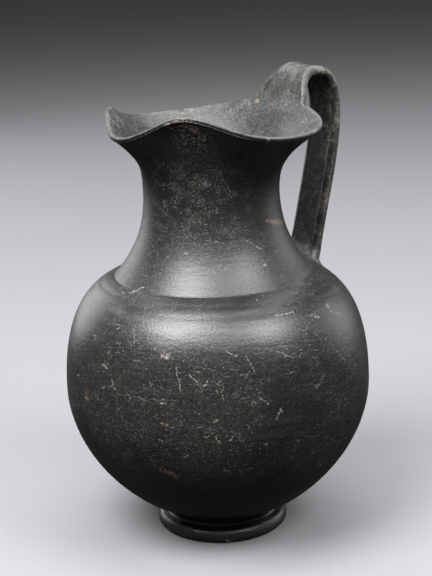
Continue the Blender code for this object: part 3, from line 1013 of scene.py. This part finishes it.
def make_clay():
    clay = bpy.data.materials.new("burnished_clay")
    clay.use_nodes = True
    tree = clay.node_tree
    made = Recipe(tree)
    surface = tree.nodes["Principled BSDF"]

    # Where a point lies and which way it faces
    place = made.node("TexCoord", {}).outputs["Object"]
    parted = made.node("SeparateXYZ", {0: place})
    across, height = parted.outputs[1], parted.outputs[2]
    turned_back = made.node("Mapping", {0: place, 2: (0, 0, radians(-FRONT_AZIMUTH))}).outputs[0]
    faced = made.node("SeparateXYZ", {0: turned_back})
    turn = made.math("ARCTAN2", faced.outputs[1], faced.outputs[0])
    flat = made.stretched(place, (1, 1, 0))
    radius = made.node("VectorMath", {0: flat}, operation="LENGTH").outputs["Value"]
    normal = made.node("NewGeometry", {}).outputs["Normal"]
    facing = made.node("SeparateXYZ", {0: normal}).outputs[2]
    away = made.node("VectorMath", {0: flat}, operation="NORMALIZE").outputs[0]
    outward = made.node("VectorMath", {0: away, 1: normal}, operation="DOT_PRODUCT")
    outward = outward.outputs["Value"]
    inside, strap = made.share("inside"), made.share("strap")
    plain = made.times(made.rest(made.span(inside, 0.3, 0.7)), made.rest(strap))
    neck = made.times(made.span(height, *NECK_START), made.rest(strap))

    # Unevenness that several layers share
    patches = made.noise(place, 24, 4)
    mottle = made.noise(place, 150, 5)
    cloud = made.span(made.noise(place, 55, 5), 0.36, 0.64)
    streaks = made.noise(made.stretched(place, (1, 1, 7)), 40, 5)
    fine_streaks = made.noise(made.stretched(place, (1, 1, 8)), 150, 4)
    grain = made.noise(place, 1200, 3)
    coarse = made.noise(made.stretched(place, (1, 1, 1.5)), 520, 3)
    dapple = made.span(coarse, 0.36, 0.64)
    frost = made.times(made.span(grain, 0.42, 0.66), made.span(coarse, 0.38, 0.64))

    # Scratches, specks and marks, most of them on the front of the belly
    front = made.span(made.math("ABSOLUTE", turn), 2.9, 1.2)
    belly = made.times(made.span(height, *BELLY_START), made.span(height, *BELLY_END))
    crowd = made.times(made.span(patches, 0.34, 0.60), made.ramp(front, 0.65, 1.0))
    crowd = made.plus(made.times(crowd, made.ramp(belly, 0.3, 1.0)), made.times(strap, 0.4))
    sheet = made.node("CombineXYZ", {0: made.times(turn, 0.085), 1: height}).outputs[0]
    specks = made.scattered(place, 1000, 0.26, made.times(crowd, 0.11))
    flecks = made.scattered(made.stretched(place, (1, 1, 1.7)), 300, 0.13, made.times(crowd, 0.07))
    seam = made.span(made.math("ABSOLUTE", turn), 3.1, 2.6)
    lines = made.times(scuffs(made, place, sheet), made.plus(crowd, 0.12), seam)
    shake = made.node("TexNoise", {"Vector": place, "Scale": 240.0}).outputs["Color"]
    shake = made.node("SeparateColor", {0: shake})
    aside, rise = (made.math("SUBTRACT", shake.outputs[axis], 0.5) for axis in (0, 1))
    shaken_turn = made.math("MULTIPLY_ADD", aside, 0.025, turn)
    shaken_height = made.math("MULTIPLY_ADD", rise, 0.0018, height)
    ragged = made.ramp(made.noise(place, 700, 3), -1.3, 1.3)
    marks = draw_marks(made, (shaken_turn, radius, shaken_height, ragged))

    # Black clay, browner low down, under a grey film; the film is thinned on the upper neck and the
    # strap as painted shade, and mostly taken off the strap's face to the neck as painted shade too
    brown = made.ramp(made.span(height, *BROWN_END), 0.35, 1.0)
    brown = made.times(made.span(patches, 0.38, 0.66), brown)
    colour = made.blend(made.times(brown, 0.8), BLACK_CLAY, BROWN_CLAY)
    film = made.ramp(made.span(mottle, 0.35, 0.65), 0.4, 1.0)
    film = made.times(made.span(streaks, 0.42, 0.72), film)
    shoulder = made.times(made.span(height, *SHOULDER_START), made.span(height, *SHOULDER_END))
    film = made.times(film, made.ramp(made.times(shoulder, plain), 0.32, 0.90))
    film = made.most(film, made.times(frost, made.ramp(crowd, 0.45, 0.95)))
    # Painted shade: the strap's face to the neck, turned away from the lights, loses most of its
    # film, rubbing, tan and dots and much of its gloss
    shaded_strap_face = made.times(strap, made.span(outward, -0.25, -0.70), made.span(facing, 0.62, 0.44))
    near_edge = made.times(made.span(across, -0.002, -0.011), made.ramp(mottle, -0.2, 1.6))
    shaded_strap_face = made.times(shaded_strap_face, made.ramp(near_edge, 1.0, 0.55))
    shaded = made.most(made.span(height, *SHADED_START), strap)
    film = made.times(film, made.ramp(shaded, 1.0, 0.4), made.ramp(shaded_strap_face, 1.0, 0.2))
    colour = made.blend(film, colour, GREY_FILM)

    # Crust on the front of the neck, and the crumbled clay under the near pinch
    sector = made.span(made.math("ABSOLUTE", made.plus(turn, 0.22)), 1.0, 0.45)
    crust = made.times(sector, made.span(height, *CRUST_START), made.span(height, *CRUST_END))
    lip_crust = made.times(sector, made.span(height, *LIP_CRUST_START), 0.3)
    crust = made.times(made.plus(crust, lip_crust), plain)
    crusted = made.times(crust, made.span(mottle, 0.44, 0.64), made.span(grain, 0.46, 0.66))
    colour = made.blend(made.times(crusted, 0.75), colour, ENCRUSTATION)
    crumbled = made.span(made.math("ABSOLUTE", made.plus(turn, 0.19)), 0.30, 0.10)
    crumbled = made.times(crumbled, made.span(height, *CRUMBLED_START), plain)
    crumbs = made.most(made.span(coarse, 0.53, 0.61), made.times(made.span(grain, 0.56, 0.64), 0.7))
    colour = made.blend(made.times(crumbled, crumbs, 0.8), colour, ENCRUSTATION)

    # Dust in the mouth and on top of the strap, partly a painted sheen of the light from above, and
    # the strap's crust
    # The grey on the mouth's inside and on the strap's up-facing top is partly dust and partly a
    # painted sheen of the overhead light
    top = made.times(strap, made.span(facing, 0.1, 0.8))
    speckle = made.ramp(made.span(mottle, 0.36, 0.62), 0.40, 1.0)
    dust_and_sheen = made.times(made.most(inside, made.times(top, 0.6)), made.ramp(cloud, 0.5, 1.0), speckle)
    dust_and_sheen = made.times(dust_and_sheen, made.ramp(dapple, 0.30, 1.15), made.ramp(frost, 0.85, 1.2))
    colour = made.blend(dust_and_sheen, colour, DUST_AND_SHEEN)
    rubbed = made.ramp(made.span(mottle, 0.42, 0.57), 0.22, 1.0)
    rubbed = made.times(rubbed, made.ramp(dapple, 0.25, 1.0), made.ramp(cloud, 0.35, 1.0))
    rubbed = made.times(rubbed, strap, made.ramp(shaded_strap_face, 1.3, 0.20))
    rubbed = made.times(rubbed, made.ramp(made.span(facing, 0.2, 0.7), 1.0, 0.55))
    colour = made.blend(rubbed, colour, ENCRUSTATION)
    spotted = made.times(strap, made.span(coarse, 0.49, 0.60), made.span(mottle, 0.42, 0.56))
    spotted = made.times(spotted, made.ramp(made.span(facing, 0.0, 0.5), 0.60, 0.06))
    colour = made.blend(spotted, colour, ENCRUSTATION)
    tanned = made.plus(strap, made.times(inside, 0.4))
    tanned = made.times(tanned, made.span(cloud, 0.5, 1.0), made.span(mottle, 0.52, 0.64), dapple)
    tanned = made.times(tanned, made.ramp(shaded_strap_face, 1.3, 0.6))
    colour = made.blend(made.times(tanned, 0.45), colour, TONES["tan"])

    # Worn edges, lighter where they face up as a painted highlight, broken clay, and the scratches
    # and marks over it all
    worn_and_lit = made.times(made.share("wear"), made.ramp(mottle, 0.2, 1.8), made.ramp(cloud, 0.5, 1.2))
    # Painted highlight: the lighter grey of worn edges is strongest on edges facing up, towards the
    # lights
    lit_from_above = made.ramp(made.span(facing, -0.1, 0.7), 0.35, 1.0)
    worn_and_lit = made.times(made.span(worn_and_lit, 0.40, 0.95), lit_from_above)
    colour = made.blend(made.times(worn_and_lit, 0.6), colour, WORN_EDGE_AND_HIGHLIGHT)
    broken = made.share("broken")
    torn = made.ramp(made.span(coarse, 0.42, 0.56), 0.08, 1.0)
    torn = made.times(made.span(broken, 0.05, 0.25), torn)
    colour = made.blend(torn, colour, BROKEN_EDGE)
    colour = made.blend(made.span(broken, 0.45, 0.85), colour, BROKEN_FACE)
    dots = made.times(made.most(inside, strap), made.span(made.noise(place, 800, 2), 0.64, 0.72))
    dots = made.times(dots, made.ramp(shaded_strap_face, 1.0, 0.7))
    small = made.most(made.times(lines, 0.8), specks, flecks, made.times(dots, 0.5))
    colour = made.blend(made.times(small, 0.8), colour, SCUFF)
    faded = made.ramp(made.span(made.noise(place, 750, 3), 0.42, 0.56), 0.06, 0.95)
    cut = None
    for tone, mask in marks.items():
        mask = made.times(mask, plain, faded)
        colour = made.blend(mask, colour, TONES[tone])
        cut = mask if cut is None else made.most(cut, mask)
    tree.links.new(colour, surface.inputs["Base Color"])

    # Burnish, duller on the upper neck, and on the strap's face to the neck as painted shade
    polish = made.ramp(neck, BODY_ROUGHNESS, NECK_ROUGHNESS)
    polish = made.plus(polish, made.ramp(fine_streaks, -0.05, 0.05))
    polish = made.plus(polish, made.times(film, 0.12))
    covered = made.most(dust_and_sheen, made.times(crusted, 0.8), made.times(strap, 0.3))
    matt = made.most(covered, worn_and_lit, small, cut, torn)
    matt_part = made.times(matt, MATT_ROUGHNESS)
    rough = made.plus(made.times(polish, made.rest(matt)), matt_part)
    tree.links.new(rough, surface.inputs["Roughness"])
    surface.inputs["IOR"].default_value = CLAY_IOR
    duller = made.times(made.span(height, *DULL_START), plain)
    shine = made.times(made.ramp(shaded_strap_face, 0.5, 0.14), made.ramp(duller, 1.0, 0.84))
    tree.links.new(shine, surface.inputs["Specular IOR Level"])

    # Facets of the burnishing tool, then the grain
    facets = made.node("Bump", {"Strength": 1.0, "Distance": FACET_DEPTH, "Height": streaks})
    fine = made.plus(made.times(fine_streaks, 0.35), made.times(grain, 1.3))
    broad = made.plus(made.times(mottle, 0.8), made.times(coarse, 1.1))
    feeds = {"Strength": 1.0, "Distance": GRAIN_DEPTH, "Normal": facets.outputs[0]}
    bump = made.node("Bump", {**feeds, "Height": made.plus(fine, broad)})
    tree.links.new(bump.outputs[0], surface.inputs["Normal"])
    return clay


# Camera as fitted to the outlines of the jug
CAMERA_PLACE = Vector((-0.4585, -0.6310, 0.3621))
CAMERA_HEADING = 53.945
CAMERA_PITCH = 15.450
CAMERA_ROLL = -2.008
CAMERA_LENS = 85.6
SENSOR_HEIGHT = 36
CLIP_START = 0.05

# Lights: (name, turn to the right of the camera's side, rise, distance, diameter, power)
LIGHTS_CENTRE = Vector((0, 0, 0.16))
LIGHTS = (
    ("left_softbox", -45, 54, 1.5, 0.95, 48),
    ("right_softbox", 52, 45, 1.5, 0.75, 21),
    ("front_softbox", 8, 50, 1.8, 1.00, 13),
    ("top_softbox", 175, 70, 1.6, 1.60, 25),
    ("left_side", -138, 12, 1.6, 1.10, 8.4),
    ("right_side", 116, 12, 1.6, 1.00, 5.6),
)
LIGHT_TINT = (0.965, 0.98, 1.0)

# Strength of the light from all round, and the floor
SKY, HORIZON, GROUND = 0.11, 0.11, 0.035
FLOOR_REACH = 12
FLOOR_COLOUR = (0.26, 0.26, 0.265, 1)


def make_camera():
    heading, pitch, roll = (radians(v) for v in (CAMERA_HEADING, CAMERA_PITCH, CAMERA_ROLL))
    ahead = Vector((cos(heading) * cos(pitch), sin(heading) * cos(pitch), -sin(pitch)))
    right = Vector((sin(heading), -cos(heading), 0))
    up = right.cross(ahead)
    right, up = cos(roll) * right + sin(roll) * up, cos(roll) * up - sin(roll) * right
    turn = Matrix((right, up, -ahead)).transposed()
    data = bpy.data.cameras.new("camera")
    data.sensor_fit = "VERTICAL"
    data.sensor_height = SENSOR_HEIGHT
    data.lens = CAMERA_LENS
    data.clip_start = CLIP_START
    camera = put("camera", data)
    camera.matrix_world = Matrix.Translation(CAMERA_PLACE) @ turn.to_4x4()
    bpy.context.scene.camera = camera


def make_lights():
    back = Vector((CAMERA_PLACE.x, CAMERA_PLACE.y, 0)).normalized()
    right = Vector((-back.y, back.x, 0))
    for name, turn, rise, distance, size, power in LIGHTS:
        turn, rise = radians(turn), radians(rise)
        level = back * cos(turn) + right * sin(turn)
        way = level * cos(rise) + Vector((0, 0, sin(rise)))
        data = bpy.data.lights.new(name, "AREA")
        data.shape = "DISK"
        data.size = size
        data.energy = power
        data.color = LIGHT_TINT
        lamp = put(name, data)
        lamp.location = LIGHTS_CENTRE + way * distance
        lamp.rotation_euler = way.to_track_quat("Z", "Y").to_euler()


def make_world():
    """Soft grey light from all round, darker from below."""
    world = bpy.data.worlds.new("studio")
    world.use_nodes = True
    made = Recipe(world.node_tree)
    way = made.node("TexCoord", {}).outputs["Generated"]
    lift = made.node("SeparateXYZ", {0: way}).outputs[2]
    below = made.ramp(made.span(lift, -0.55, 0.02), GROUND, HORIZON)
    above = made.ramp(made.span(lift, 0.02, 0.7), 0, SKY - HORIZON)
    background = world.node_tree.nodes["Background"]
    background.inputs["Color"].default_value = (*LIGHT_TINT, 1)
    world.node_tree.links.new(made.plus(below, above), background.inputs["Strength"])
    bpy.context.scene.world = world


def make_floor():
    mesh = bpy.data.meshes.new("floor")
    signs = ((-1, -1), (1, -1), (1, 1), (-1, 1))
    corners = [(x * FLOOR_REACH, y * FLOOR_REACH, 0) for x, y in signs]
    mesh.from_pydata(corners, [], [(0, 1, 2, 3)])
    floor = put("floor", mesh)
    # The clay mirrors the dark ground of the world, as it does a dark table, not the pale paper
    floor.visible_glossy = False
    floor.visible_diffuse = False
    paper = bpy.data.materials.new("pale_paper")
    paper.use_nodes = True
    surface = paper.node_tree.nodes["Principled BSDF"]
    surface.inputs["Base Color"].default_value = FLOOR_COLOUR
    surface.inputs["Roughness"].default_value = 0.9
    surface.inputs["Specular IOR Level"].default_value = 0.1
    mesh.materials.append(paper)


bpy.context.scene.view_settings.view_transform = "Standard"
jug = make_jug()
jug.data.materials.append(make_clay())
make_camera()
make_lights()
make_world()
make_floor()
